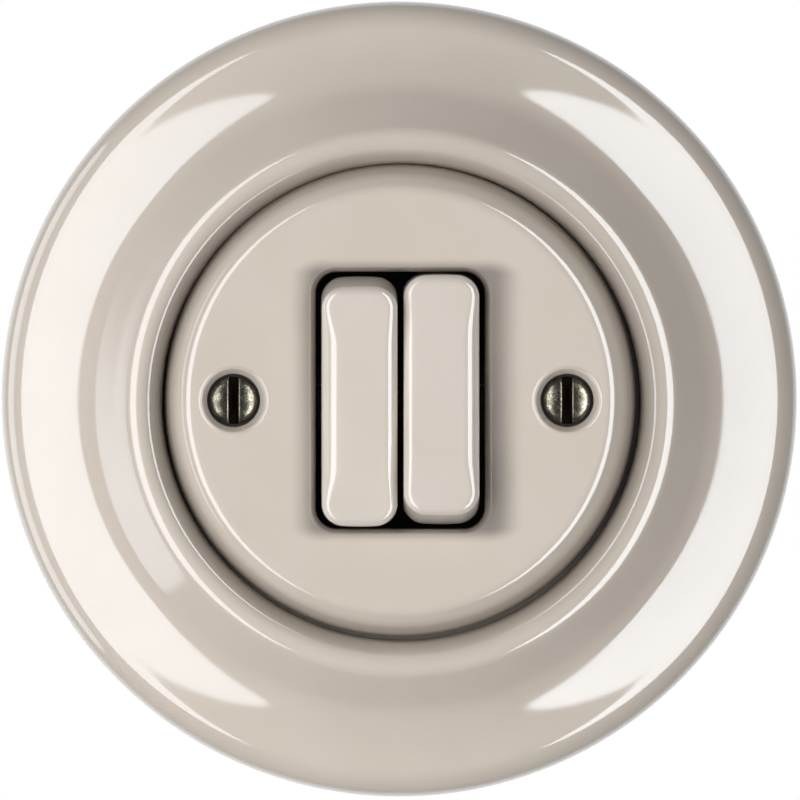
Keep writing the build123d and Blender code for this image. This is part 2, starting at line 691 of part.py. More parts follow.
def bearing_frame():
    """Moulded frame over the base block, with the three ears of the axle."""
    length = BASE_LENGTH + 2 * (WINDOW_CLEARANCE + BEARING_PLATE_OVERLAP)
    depth = (PLATE_THICKNESS, BEARING_TOP)
    frame = plate(BASE_WIDTH, length, BASE_CORNER_RADIUS, depth)
    for side in SIDES.values():
        frame -= plate(
            BEARING_WINDOW_WIDTH,
            BEARING_WINDOW_LENGTH,
            BASE_CORNER_RADIUS / 2,
            depth,
            side * ROCKER_CENTRE,
        )
    middle = MIDDLE_EAR_THICKNESS / 2
    for across in [(-EAR_OUTER, -EAR_INNER), (-middle, middle), (EAR_INNER, EAR_OUTER)]:
        frame += axle_ear(across)
    frame -= cross_rod(AXLE_HEIGHT, AXLE_RADIUS + AXLE_FIT, (-EAR_OUTER, EAR_OUTER))
    for side in SIDES.values():
        post = POST_DIAMETER / 2 + POST_CLEARANCE
        frame -= rod(side * SCREW_SPACING / 2, 0, post, depth)
    for across, up in rivet_places():
        frame -= rod(across, up, RIVET_DIAMETER / 2 + RIVET_CLEARANCE, depth)
    for across, up in fixing_places():
        frame -= rod(across, up, FIXING_DIAMETER / 2 + FIXING_HOLE_CLEARANCE, depth)
    return frame


def rocker_axle():
    """Steel pin through the ears and both carriers."""
    reach = EAR_OUTER + AXLE_OVERHANG
    pin = cross_rod(AXLE_HEIGHT, AXLE_RADIUS, (-reach, reach))
    return chamfer(pin.edges().filter_by(GeomType.CIRCLE), AXLE_OVERHANG / 2)


def support_plate():
    """Steel plate on the wall, with its window, box-screw holes and fixing holes."""
    steel = rod(0, 0, PLATE_DIAMETER / 2, (0, PLATE_THICKNESS))
    width = BASE_WIDTH + 2 * WINDOW_CLEARANCE
    length = BASE_LENGTH + 2 * WINDOW_CLEARANCE
    depth = (0, PLATE_THICKNESS)
    steel -= plate(width, length, BASE_CORNER_RADIUS, depth)
    for spot in PolarLocations(BOX_SCREW_CIRCLE_DIAMETER / 2, 4):
        across, up = spot.position.X, spot.position.Y
        steel -= rod(across, up, BOX_SCREW_HOLE_DIAMETER / 2, depth)
    for side in SIDES.values():
        bore = SCREW_DIAMETER / 2 + POST_THREAD_CLEARANCE
        steel -= rod(side * SCREW_SPACING / 2, 0, bore, depth)
    for across, up in rivet_places():
        steel -= rod(across, up, RIVET_DIAMETER / 2 + RIVET_CLEARANCE, depth)
    return steel


def screw_post(side):
    """Round threaded post on the support plate for a cover screw."""
    across = side * SCREW_SPACING / 2
    post = rod(across, 0, POST_DIAMETER / 2, (PLATE_THICKNESS, POST_TOP))
    bore = SCREW_DIAMETER / 2 + POST_THREAD_CLEARANCE
    return post - rod(across, 0, bore, (PLATE_THICKNESS, POST_TOP))


def cover_screw(side):
    """Slotted cheese-head screw that holds the cover disc."""
    across = side * SCREW_SPACING / 2
    head = rod(across, 0, SCREW_HEAD_DIAMETER / 2, (HEAD_SEAT, HEAD_TOP))
    rim = head.edges().filter_by(GeomType.CIRCLE).sort_by(Axis.Y)[0]
    head = fillet(rim, SCREW_HEAD_EDGE)
    slot = (across - SCREW_SLOT_WIDTH / 2, across + SCREW_SLOT_WIDTH / 2)
    floor = HEAD_TOP - SCREW_SLOT_DEPTH
    head -= block(slot, (floor, HEAD_TOP), (-SCREW_HEAD_DIAMETER, SCREW_HEAD_DIAMETER))
    return head + rod(across, 0, SCREW_DIAMETER / 2, (SCREW_TIP_HEIGHT, HEAD_SEAT))


def rivet(place):
    """Rivet through the bearing frame and the support plate."""
    shank = rod(*place, RIVET_DIAMETER / 2, (0, BEARING_TOP))
    front = (BEARING_TOP, BEARING_TOP + RIVET_HEAD_HEIGHT)
    back = (-RIVET_HEAD_HEIGHT, 0)
    for height in (front, back):
        shank += rod(*place, RIVET_HEAD_DIAMETER / 2, height)
    return shank


def fixing_screw(place):
    """Slotted screw that holds the base block to the bearing frame."""
    across, up = place
    head = (BEARING_TOP, BEARING_TOP + FIXING_HEAD_HEIGHT)
    screw = rod(across, up, FIXING_HEAD_DIAMETER / 2, head)
    slot = (up - FIXING_SLOT_WIDTH / 2, up + FIXING_SLOT_WIDTH / 2)
    reach = (across - FIXING_HEAD_DIAMETER, across + FIXING_HEAD_DIAMETER)
    screw -= block(reach, (head[1] - FIXING_SLOT_DEPTH, head[1]), slot)
    shank = (BEARING_TOP - FIXING_LENGTH, BEARING_TOP)
    return screw + rod(across, up, FIXING_DIAMETER / 2, shank)


# The left rocker rests with its lower end pressed, the right one with its upper end


def rocker_tilt(side):
    """Tilt of a rocker at rest, in degrees about X, positive with its top out."""
    return -side * ROCKER_TILT


def switch_pieces():
    """Every piece of the switch, by the name of its node."""
    pieces = {
        "frame_ring": frame_ring(),
        "cover_disc": cover_disc(),
        "support_plate": support_plate(),
        "bearing_frame": bearing_frame(),
        "base_block": base_block(),
        "rocker_axle": rocker_axle(),
        "common_contact": common_contact(),
        "plate_rivets": Compound([rivet(place) for place in rivet_places()]),
        "fixing_screws": Compound([fixing_screw(place) for place in fixing_places()]),
    }
    for name, side in SIDES.items():
        turn = rocker_tilt(side)
        rocking = {
            "rocker": rocker_cap(side),
            "carrier": rocker_carrier(side),
            "plunger": plunger(side),
            "plunger_spring": plunger_spring(side),
        }
        for piece, shape in rocking.items():
            pieces[f"{name}_{piece}"] = spun(shape, turn, AXLE_HEIGHT)
        blade_turn = side * BLADE_TILT
        pieces[f"{name}_see_saw"] = spun(see_saw(side), blade_turn, BLADE_AXIS)
        pieces[f"{name}_fixed_contact"] = fixed_contact(side)
        pieces[f"{name}_screw_post"] = screw_post(side)
        pieces[f"{name}_cover_screw"] = cover_screw(side)
    for name, place in TERMINALS.items():
        pieces[f"{name}_terminal"] = terminal(place)
    pieces["clamp_screws"] = Compound([clamp_screw(p) for p in TERMINALS.values()])
    return pieces


os.makedirs("parts", exist_ok=True)
for node, shape in switch_pieces().items():
    export_step(shape, f"parts/{node}.step")
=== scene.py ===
import json
import math

import bmesh
import bpy
from bpy.props import FloatProperty, FloatVectorProperty, IntProperty, PointerProperty
from mathutils import Matrix, Vector, geometry


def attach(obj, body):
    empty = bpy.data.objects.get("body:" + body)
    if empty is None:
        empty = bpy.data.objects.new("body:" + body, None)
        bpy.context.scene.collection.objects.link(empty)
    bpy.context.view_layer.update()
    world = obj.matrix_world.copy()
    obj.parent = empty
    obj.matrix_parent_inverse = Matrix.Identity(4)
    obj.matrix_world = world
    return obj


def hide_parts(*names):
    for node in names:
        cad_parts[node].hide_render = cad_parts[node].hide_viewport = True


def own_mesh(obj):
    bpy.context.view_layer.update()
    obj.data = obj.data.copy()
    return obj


bl_info = {
    "name": "Porcelain light switch",
    "version": (1, 0, 0),
    "blender": (4, 5, 0),
    "location": "View3D > Sidebar > Light switch",
    "description": "Dresses a flush porcelain light switch with two rockers",
    "category": "Object",
}

# Metres. The wall plane is y = 0, the front looks along -Y and up is +Z. A height is
# a distance out from the wall plane towards the front.
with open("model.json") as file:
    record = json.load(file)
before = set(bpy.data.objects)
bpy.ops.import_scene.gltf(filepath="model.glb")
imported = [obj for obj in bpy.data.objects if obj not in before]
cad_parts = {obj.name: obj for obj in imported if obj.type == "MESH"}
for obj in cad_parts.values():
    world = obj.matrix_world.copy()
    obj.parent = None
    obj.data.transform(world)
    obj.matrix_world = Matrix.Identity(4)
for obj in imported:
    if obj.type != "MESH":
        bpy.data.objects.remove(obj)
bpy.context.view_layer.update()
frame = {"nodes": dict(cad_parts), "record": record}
MM = 0.001
SIDES = {"left": -1, "right": 1}
# Width of the flat strip between a rounded edge and the flat face beside it.
SEAM = 0.02 * MM
# Radii of each rocker's long edges, the left and the right one.
ROCKER_EDGES = {"left": (2.7 * MM, 1.7 * MM), "right": (1.5 * MM, 2.1 * MM)}


def tone(red, green, blue):
    """Linear colour of a screen colour with parts from 0 to 255."""
    parts = []
    for value in (red, green, blue):
        share = value / 255
        low = share / 12.92
        high = ((share + 0.055) / 1.055) ** 2.4
        parts.append(low if share <= 0.04045 else high)
    return tuple(parts)


def length(name, description, default):
    """Property for a length, given in millimetres and kept in metres."""
    return FloatProperty(
        name=name,
        description=description,
        default=default * MM,
        unit="LENGTH",
        precision=5,
    )


def slope(name, description, default):
    """Property for an angle, given in degrees."""
    return FloatProperty(
        name=name,
        description=description,
        default=math.radians(default),
        subtype="ANGLE",
    )


def level(name, description, default):
    """Property for a radiance, at which 1 is white."""
    return FloatProperty(name=name, description=description, default=default, min=0)


def colour(name, description, *default):
    """Property for a colour, given as a screen colour."""
    return FloatVectorProperty(
        name=name,
        description=description,
        default=tone(*default),
        subtype="COLOR",
        min=0,
        max=1,
    )


# Settings


class FrameRingSettings(bpy.types.PropertyGroup):
    radius: length("Radius", "Outer radius of the frame", 50.0)
    edge_height: length("Edge height", "Upright part of the outer edge", 1.2)
    wall: length("Wall", "Thickness behind the moulding", 3.8)
    foot_width: length("Foot width", "Width of the ring that lies on the wall", 4.5)
    lip_width: length("Lip width", "Width of the rounded outer lip", 3.5)
    lip_slope: slope("Lip slope", "Slope at the inner end of the lip", 23.0)
    sweep_width: length("Sweep width", "Width of the broad sweep", 6.3)
    sweep_slope: slope("Sweep slope", "Slope at the inner end of the sweep", 34.0)
    curl_width: length("Curl width", "Width of the hollow below the crest", 2.2)
    curl_slope: slope("Curl slope", "Slope at the inner end of the hollow", 48.0)
    cone_width: length("Cone width", "Width of the straight slope", 3.5)
    crest_outer_width: length("Crest outer width", "Width up to the top", 2.3)
    shoulder_width: length("Shoulder width", "Width from the top inwards", 0.5)
    shoulder_slope: slope("Shoulder slope", "Slope at the shoulder's inner end", 20.0)
    bend_width: length("Bend width", "Width of the tight bend inside it", 0.3)
    bend_slope: slope("Bend slope", "Slope where the bend rolls in", 48.0)
    roll_width: length("Roll width", "Width of the roll into the bore", 0.6)
    roll_slope: slope("Roll slope", "Slope at the inner end of the roll", 66.0)
    fall_width: length("Fall width", "Width of the steep fall", 0.8)
    fall_slope: slope("Fall slope", "Slope at the inner end of the fall", 78.0)
    mouth_width: length("Mouth width", "Width of the last turn into the bore", 0.3)
    bore_radius: length("Bore radius", "Radius of the hole for the disc", 29.7)
    drift_across: length("Drift across", "How far the crest lies to the right", 0.2)
    drift_up: length("Drift up", "How far the crest lies above the middle", -0.3)
    collar_wall: length("Collar wall", "Thickness of the collar round the bore", 3.6)
    ledge_width: length("Ledge width", "Width of the ledge under the disc", 3.0)
    ledge_height: length("Ledge height", "Height of the ledge's seat", 8.7023)
    ledge_thickness: length("Ledge thickness", "Thickness of the ledge", 2.8)
    segments: IntProperty(name="Segments", description="Steps round", default=320, min=48)


class CoverDiscSettings(bpy.types.PropertyGroup):
    radius: length("Radius", "Radius of the cover disc", 29.48)
    face_height: length("Face height", "Height of the flat face", 18.2023)
    underside: length("Underside", "Height of the underside", 14.0023)
    seat: length("Seat", "Height at which the rim rests on the ledge", 8.7023)
    rim_wall: length("Rim wall", "Thickness of the rim", 3.8)
    draft_width: length("Draft width", "Width of the steep side", 1.08)
    edge_slope: slope("Edge slope", "Slope of the steep side", 71.0)
    foot_width: length("Edge foot", "Width of the edge above the side", 0.25)
    foot_slope: slope("Foot slope", "Slope at the upper end of the foot", 60.0)
    bevel_width: length("Bevel width", "Width of the steady part of the edge", 1.2)
    bevel_slope: slope("Bevel slope", "Slope at the upper end of it", 44.0)
    bend_width: length("Bend width", "Width of the tight bend", 0.75)
    bend_slope: slope("Bend slope", "Slope at the upper end of the bend", 18.0)
    crown_width: length("Crown width", "Width of the soft run to the flat", 0.75)
    opening_width: length("Opening width", "Width of the rocker opening", 21.0)
    opening_length: length("Opening length", "Length of the rocker opening", 32.0)
    opening_corner: length("Opening corner", "Corner radius of the opening", 2.6)
    opening_lip: length("Opening lip", "Width of the opening's lip", 1.8)
    recess_radius: length("Recess radius", "Radius of a screw recess", 3.3)
    recess_lip: length("Recess lip", "Width of a recess's lip", 1.25)
    recess_floor: length("Recess floor", "Height of the screw's seat", 15.1023)
    hole_radius: length("Hole radius", "Radius of the screw hole", 1.75)
    boss_radius: length("Boss radius", "Radius of the boss behind a recess", 4.35)
    boss_bottom: length("Boss bottom", "Height of the boss's end", 8.5)
    spacing: length("Screw spacing", "Distance between the screws", 41.6)


class RockerSettings(bpy.types.PropertyGroup):
    back_width: length("Back width", "Width of a rocker at its rim", 9.6)
    back_length: length("Back length", "Length of a rocker at its rim", 31.5)
    front_width: length("Front width", "Width of a rocker at its face", 9.4)
    front_length: length("Front length", "Length of a rocker at its face", 29.8)
    bow: length("Bow", "How far the ends bow outwards", 0.35)
    corner: length("Corner", "Corner radius of a rocker", 2.8)
    bottom: length("Bottom", "Height of the rim in the middle position", 14.0023)
    top: length("Top", "Height of the face in the middle position", 21.6)
    wall: length("Wall", "Thickness of the sides", 1.9)
    face_wall: length("Face wall", "Thickness of the face", 2.2)
    end_edge: length("End edge", "Radius of the edge at the ends", 1.3)
    centre: length("Centre", "Distance of a rocker from the middle", 5.1)
    axle: length("Axle height", "Height of the axle", 11.4023)
    tilt: slope("Tilt", "Tilt of a rocker at rest", 4.5)


class CoverScrewSettings(bpy.types.PropertyGroup):
    head_radius: length("Head radius", "Radius of the head", 2.95)
    head_top: length("Head top", "Height of the head's middle", 17.6)
    head_edge: length("Head edge", "Width of the head's worn edge", 0.16)
    crown: slope("Crown", "Slope of the head at its edge", 27.0)
    slot_width: length("Slot width", "Width of the driver slot", 1.35)
    slot_depth: length("Slot depth", "Depth of the driver slot", 1.0)
    slot_wear: length("Slot wear", "Rounding of the slot's edges", 0.12)
    shank_radius: length("Shank radius", "Radius of the shank", 1.45)
    tip: length("Tip", "Height of the shank's end", 2.2)


class FinishSettings(bpy.types.PropertyGroup):
    glaze: colour("Glaze", "Frame and disc", 204, 194, 183)
    rocker_glaze: colour("Rocker glaze", "Rockers", 209, 200, 191)
    steatite: colour("Steatite", "Base block", 224, 218, 204)
    plastic: colour("Plastic", "Bearing frame and carriers", 34, 31, 29)
    oxide: colour("Oxide", "Dark film on the cover screws", 96, 89, 78)
    zinc: colour("Zinc", "Plated steel", 178, 181, 184)
    steel: colour("Steel", "Axle and springs", 196, 197, 200)
    brass: colour("Brass", "Contacts and terminals", 214, 176, 102)


class StudioSettings(bpy.types.PropertyGroup):
    distance: length("Distance", "Distance of the camera", 2000.0)
    view_width: length("View width", "Width seen at the wall plane", 100.63)
    across: length("Across", "How far the camera stands to the right", -16.8)
    up: length("Up", "How far the camera stands above the middle", 19.5)
    lamp_distance: length("Lamp distance", "Distance of the lamps", 1200.0)
    left_light: level("Left light", "Radiance of the left lamp", 4.4)
    right_light: level("Right light", "Radiance of the right lamp", 2.15)
    left_gloss: level("Left gloss", "Radiance of the left panel in gloss", 5.5)
    right_gloss: level("Right gloss", "Radiance of the right panel in gloss", 7.6)
    side_gloss: level("Side gloss", "Radiance of the far left wall in gloss", 2.8)
    room_gloss: level("Room gloss", "Radiance of the room in gloss", 0.2)
    paper: level("Paper", "Light from the pale surface behind", 0.2)


class SwitchSettings(bpy.types.PropertyGroup):
    frame_ring: PointerProperty(type=FrameRingSettings)
    cover_disc: PointerProperty(type=CoverDiscSettings)
    rocker: PointerProperty(type=RockerSettings)
    cover_screw: PointerProperty(type=CoverScrewSettings)
    finish: PointerProperty(type=FinishSettings)
    studio: PointerProperty(type=StudioSettings)


# Shader expressions


def calculation(operation, swapped=False):
    """Operator of a Wire, which adds a Math node."""

    def method(self, *other):
        values = (*other, self) if swapped else (self, *other)
        return self.paint.math(operation, *values)

    return method


class Wire:
    """Output socket of a node tree that is calculated with."""

    def __init__(self, paint, socket):
        self.paint = paint
        self.socket = socket

    __add__, __radd__ = calculation("ADD"), calculation("ADD", True)
    __sub__, __rsub__ = calculation("SUBTRACT"), calculation("SUBTRACT", True)
    __mul__, __rmul__ = calculation("MULTIPLY"), calculation("MULTIPLY", True)
    __truediv__ = calculation("DIVIDE")
    __pow__ = calculation("POWER")
    __abs__ = calculation("ABSOLUTE")


class Paint:
    """Node tree of a material or a world."""

    def __init__(self, owner):
        self.owner = owner
        owner.use_nodes = True
        self.tree = owner.node_tree
        self.tree.nodes.clear()

    def node(self, kind, settings=None, sockets=None, output=0):
        """Adds a node: its settings first, then the values or links of its sockets."""
        made = self.tree.nodes.new(kind)
        for name, value in (settings or {}).items():
            setattr(made, name, value)
        for key, value in (sockets or {}).items():
            socket = made.inputs[key]
            if isinstance(value, Wire):
                self.tree.links.new(value.socket, socket)
            elif socket.type == "RGBA" and len(value) == 3:
                socket.default_value = (*value, 1.0)
            else:
                socket.default_value = value
        return Wire(self, made.outputs[output]) if made.outputs else made

    def math(self, operation, *values):
        """Math node on one, two or three values."""
        settings = {"operation": operation}
        return self.node("ShaderNodeMath", settings, dict(enumerate(values)))

    def mix(self, factor, first, second):
        """Mix of two colours."""
        sockets = {0: factor, 6: first, 7: second}
        return self.node("ShaderNodeMix", {"data_type": "RGBA"}, sockets, 2)

    def step(self, value, low, high):
        """Smooth step from 0 at low to 1 at high."""
        settings = {"interpolation_type": "SMOOTHSTEP"}
        sockets = {"Value": value, "From Min": low, "From Max": high}
        return self.node("ShaderNodeMapRange", settings, sockets)

    def parts(self, vector):
        """The three parts of a vector."""
        node = self.tree.nodes.new("ShaderNodeSeparateXYZ")
        self.tree.links.new(vector.socket, node.inputs[0])
        return [Wire(self, output) for output in node.outputs]

    def noise(self, place, size, detail=3.0, roughness=0.5, distortion=0.0):
        """Noise whose features are about size metres wide, from 0 to 1."""
        sockets = {
            "Vector": place,
            "Scale": 1.0 / size,
            "Detail": detail,
            "Roughness": roughness,
            "Distortion": distortion,
        }
        return self.node("ShaderNodeTexNoise", None, sockets)

    def cells(self, place, size):
        """Cell pattern whose cells are about size metres wide."""
        sockets = {"Vector": place, "Scale": 1.0 / size}
        return self.node("ShaderNodeTexVoronoi", {"feature": "F1"}, sockets)

    def stretch(self, place, scale):
        """Place scaled along each axis, which draws a pattern out."""
        sockets = {0: place, 1: scale}
        return self.node("ShaderNodeVectorMath", {"operation": "MULTIPLY"}, sockets)

    def bump(self, height, depth, normal=None):
        """Bump whose height from 0 to 1 stands for depth metres."""
        sockets = {"Height": height, "Distance": depth, "Strength": 1.0}
        if normal:
            sockets["Normal"] = normal
        return self.node("ShaderNodeBump", None, sockets)

    def principled(self, **sockets):
        """Puts a principled shader on the output; gives the material."""
        named = {key.replace("_", " "): value for key, value in sockets.items()}
        shader = self.node("ShaderNodeBsdfPrincipled", None, named)
        self.node("ShaderNodeOutputMaterial", None, {"Surface": shader})
        return self.owner


def new_paint(name):
    """Node tree of a new material, and the place on the piece in its coordinates."""
    paint = Paint(bpy.data.materials.new(name))
    return paint, paint.node("ShaderNodeTexCoord", output="Object")


# Finishes, with painted shade on the porcelain


def frame_painted_shade(paint, place, size):
    """Painted shade on the frame: the roll beside the disc is darkened, more at the left and
    right than at the top and bottom; 1 is unshaded.
    """
    across, _, up = paint.parts(place)
    across, up = across - size.drift_across, up - size.drift_up
    radius = paint.math("SQRT", across * across + up * up)
    low, high = size.bore_radius + 0.9 * MM, size.bore_radius + 3.9 * MM
    # Painted shade: darkening on the roll into the bore, stronger at the sides.
    shaded = 1 - paint.step(radius, low, high)
    return 1 - shaded * (0.2 + 0.26 * abs(across) / radius)


def cover_painted_shade(paint, place, size):
    """Painted shade on the disc: shade at its edge by the gap, a painted shadow beside the
    opening, shade in the recesses and darkness inside; 1 is unshaded.

    The painted shadow beside the opening lies wider to its right than to its left.
    """
    across, depth, up = paint.parts(place)
    radius = paint.math("SQRT", across * across + up * up)
    # Painted shade: the disc's edge by the gap is darkened.
    edge = 0.22 * paint.step(radius, size.radius - 2.08 * MM, size.radius - 0.48 * MM)
    # Painted shadow beside the rocker opening, offset to the right.
    half, reach = size.opening_width / 2 - 0.5 * MM, size.opening_length / 2 - 0.5 * MM
    beyond = paint.math("MAXIMUM", abs(across - 0.7 * MM) - half, 0.0)
    above = 2 * paint.math("MAXIMUM", abs(up) - reach, 0.0)
    gap = paint.math("SQRT", beyond * beyond + above * above)
    lip = 0.55 * (1 - paint.step(gap, 0.8 * MM, 4.8 * MM))
    beside = abs(across) - size.spacing / 2
    spot = paint.math("SQRT", beside * beside + up * up)
    low, high = size.recess_radius + 0.5 * MM, size.recess_radius + 1.1 * MM
    # Painted shade in the screw recesses.
    well = 0.2 * (1 - paint.step(spot, low, high))
    # Painted shade: the opening's walls and the inside below the face go dark.
    inside = 1 - paint.step(0 - depth, size.underside, size.face_height - 1.2 * MM)
    rim = size.radius - size.rim_wall
    inside = inside * (1 - paint.step(radius, rim - 0.48 * MM, rim + 0.32 * MM))
    return (1 - edge) * (1 - lip) * (1 - well) * (1 - inside)


def glaze(name, shade, painted_shade=None, size=None):
    """Glossy porcelain glaze, faintly mottled and waved.

    A painted-shade function, which gets the piece's size, says where painted shade darkens
    the glaze.
    """
    paint, place = new_paint(name)
    cloud = paint.noise(place, 9 * MM, 4.0)
    grain = paint.noise(place, 0.35 * MM, 2.0)
    pale = tuple(min(1.0, part * 1.012) for part in shade)
    warm = (shade[0] * 0.985, shade[1] * 0.98, shade[2] * 0.972)
    body = paint.mix(paint.step(cloud, 0.3, 0.7), warm, pale)
    fleck = paint.step(grain, 0.62, 0.78) * 0.35
    body = paint.mix(fleck, body, tuple(part * 0.9 for part in shade))
    # Painted shade: where the function says, the glaze goes towards near black.
    if painted_shade:
        body = paint.mix(painted_shade(paint, place, size), tone(22, 18, 14), body)
    waves = paint.noise(place, 16 * MM, 1.5)
    peel = paint.noise(place, 1.3 * MM, 2.0)
    normal = paint.bump(waves, 0.03 * MM)
    normal = paint.bump(peel, 0.0004 * MM, normal)
    rough = 0.06 + 0.05 * paint.noise(place, 4 * MM, 3.0)
    return paint.principled(Base_Color=body, Roughness=rough, IOR=1.6, Normal=normal)


def oxide_steel(name, shade, across):
    """Weathered screw steel: a dark film, worn blotches and painted shade in the slot."""
    paint, place = new_paint(name)
    blotch = paint.noise(place, 0.9 * MM, 6.0, 0.62)
    pit = paint.noise(place, 0.16 * MM, 3.0, 0.6)
    worn = paint.step(blotch, 0.42, 0.66)
    body = paint.mix(worn, shade, tone(144, 137, 122))
    body = paint.mix(paint.step(pit, 0.5, 0.66) * 0.75, body, tone(52, 44, 36))
    beside = abs(paint.parts(place)[0] - across)
    # Painted shade: the slot's floor and walls are coloured near black.
    slot = 1 - paint.step(beside, 0.6 * MM, 0.72 * MM)
    body = paint.mix(slot, body, tone(26, 20, 15))
    worn_edge = paint.step(beside + 0.12 * MM * blotch, 0.72 * MM, 0.87 * MM)
    normal = paint.bump(pit, 0.0035 * MM)
    return paint.principled(
        Base_Color=body,
        Metallic=1.0,
        Roughness=0.12 + 0.2 * pit + 0.5 * slot,
        Normal=paint.bump(worn_edge, 0.09 * MM, normal),
    )


def zinc_plating(name, shade):
    """Zinc plate with a faint spangle, drawing marks and dull spots."""
    paint, place = new_paint(name)
    spangle = paint.cells(place, 3.5 * MM)
    streak = paint.noise(paint.stretch(place, (1.0, 1.0, 0.06)), 0.5 * MM, 4.0)
    dull = paint.noise(place, 7 * MM, 5.0)
    body = paint.mix(spangle * 0.4, shade, tuple(part * 0.82 for part in shade))
    body = paint.mix(paint.step(dull, 0.5, 0.75) * 0.6, body, tone(150, 152, 150))
    rough = 0.24 + 0.2 * streak + 0.14 * paint.step(dull, 0.5, 0.75)
    normal = paint.bump(streak, 0.004 * MM)
    return paint.principled(
        Base_Color=body,
        Metallic=1.0,
        Roughness=rough,
        Normal=normal,
    )


def drawn_steel(name, shade):
    """Bright drawn steel with fine lines along its length."""
    paint, place = new_paint(name)
    line = paint.noise(paint.stretch(place, (0.08, 1.0, 1.0)), 0.14 * MM, 3.0)
    smear = paint.noise(place, 2.5 * MM, 4.0)
    body = paint.mix(smear * 0.5, shade, tuple(part * 0.78 for part in shade))
    return paint.principled(
        Base_Color=body,
        Metallic=1.0,
        Roughness=0.16 + 0.2 * line,
        Normal=paint.bump(line, 0.002 * MM),
    )


def stamped_brass(name, shade):
    """Stamped brass with light tarnish, rolling lines and dull blotches."""
    paint, place = new_paint(name)
    tarnish = paint.step(paint.noise(place, 3.2 * MM, 6.0, 0.6), 0.42, 0.72)
    roll = paint.noise(paint.stretch(place, (1.0, 1.0, 0.07)), 0.25 * MM, 3.0)
    body = paint.mix(tarnish * 0.75, shade, tone(142, 104, 58))
    body = paint.mix(roll * 0.25, body, tone(232, 204, 140))
    return paint.principled(
        Base_Color=body,
        Metallic=1.0,
        Roughness=0.2 + 0.22 * tarnish + 0.1 * roll,
        Normal=paint.bump(roll, 0.003 * MM),
    )


def pressed_steatite(name, shade):
    """Unglazed pressed ceramic: fine grain, small pits and handling marks."""
    paint, place = new_paint(name)
    grain = paint.noise(place, 0.3 * MM, 5.0, 0.65)
    stain = paint.noise(place, 8 * MM, 5.0, 0.6)
    pit = paint.step(paint.cells(place, 1.6 * MM), 0.02, 0.16)
    body = paint.mix(paint.step(stain, 0.45, 0.75), shade, tone(198, 187, 166))
    body = paint.mix(grain * 0.3, body, tone(236, 232, 222))
    body = paint.mix((1 - pit) * 0.5, body, tone(150, 138, 118))
    normal = paint.bump(grain, 0.03 * MM)
    normal = paint.bump(pit, 0.03 * MM, normal)
    return paint.principled(
        Base_Color=body,
        Roughness=0.62 + 0.2 * grain,
        Normal=normal,
    )


def moulded_plastic(name, shade):
    """Dark moulded plastic with a fine grain and flow marks."""
    paint, place = new_paint(name)
    grain = paint.noise(place, 0.18 * MM, 3.0)
    flow = paint.noise(paint.stretch(place, (1.0, 1.0, 0.25)), 5 * MM, 3.0, 0.5, 1.2)
    pale = tuple(part * 1.9 + 0.004 for part in shade)
    body = paint.mix(paint.step(flow, 0.35, 0.75) * 0.6, shade, pale)
    return paint.principled(
        Base_Color=body,
        Roughness=0.38 + 0.22 * grain,
        Normal=paint.bump(grain, 0.008 * MM),
    )


# Mesh work


class Skin:
    """Points and faces of one closed mesh, gathered loop by loop."""

    def __init__(self):
        self.points = []
        self.faces = []

    def loop(self, points):
        """Adds a closed loop of points and gives their numbers."""
        first = len(self.points)
        self.points.extend(points)
        return list(range(first, len(self.points)))

    def bridge(self, near, far):
        """Joins two loops of as many points with a band of faces."""
        count = len(near)
        for i in range(count):
            j = (i + 1) % count
            self.faces.append((near[i], near[j], far[j], far[i]))

    def run(self, loops):
        """Joins loops one after another and gives the last."""
        for near, far in zip(loops, loops[1:]):
            self.bridge(near, far)
        return loops[-1]

    def cap(self, loop):
        """Closes a loop with one face."""
        self.faces.append(tuple(loop))

    def fill(self, outer, holes):
        """Fills the flat area between an outer loop and the loops of its holes."""
        numbers, edges = [], []
        for loop in (outer, *holes):
            first = len(numbers)
            numbers.extend(loop)
            count = len(loop)
            edges.extend((first + i, first + (i + 1) % count) for i in range(count))
        flat = [Vector((self.points[n][0], self.points[n][2])) for n in numbers]
        rims = [[Vector((self.points[n][0], self.points[n][2])) for n in h] for h in holes]
        made = geometry.delaunay_2d_cdt(flat, edges, [], 0, 1e-9)
        places, _, triangles, origins = made[:4]
        for triangle in triangles:
            middle = sum((places[i] for i in triangle), Vector((0, 0))) / 3
            if not any(within(middle, rim) for rim in rims):
                self.faces.append(tuple(numbers[origins[i][0]] for i in triangle))

    def make(self, name, body, slot_name, material, *nodes):
        """Object of the gathered mesh, riding on a body in place of CAD nodes."""
        mesh = bpy.data.meshes.new(name)
        mesh.from_pydata([tuple(p) for p in self.points], [], self.faces)
        mesh.validate()
        tidy_normals(mesh)
        smooth(mesh, 40.0)
        return show(name, mesh, body, slot_name, material, *nodes)


def within(spot, rim):
    """Whether a spot lies inside a closed outline."""
    inside = False
    for a, b in zip(rim, rim[1:] + rim[:1]):
        if (a.y > spot.y) != (b.y > spot.y):
            if spot.x < a.x + (spot.y - a.y) / (b.y - a.y) * (b.x - a.x):
                inside = not inside
    return inside


def tidy_normals(mesh):
    """Turns every face outwards."""
    shape = bmesh.new()
    shape.from_mesh(mesh)
    bmesh.ops.recalc_face_normals(shape, faces=shape.faces)
    shape.to_mesh(mesh)
    shape.free()


def smooth(mesh, sharp):
    """Smooth shading with edges above an angle in degrees kept sharp."""
    mesh.shade_smooth()
    mesh.set_sharp_from_angle(angle=math.radians(sharp))


def added(name, data):
    """New object in the scene."""
    made = bpy.data.objects.new(name, data)
    bpy.context.scene.collection.objects.link(made)
    return made


def show(name, mesh, body, slot_name, material, *nodes):
    """Object of a mesh that rides on a body and stands for CAD nodes."""
    made = added(name, mesh)
    mesh.materials.clear()
    mesh.materials.append(material)
    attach(made, body)
    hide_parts(*nodes)
    return made


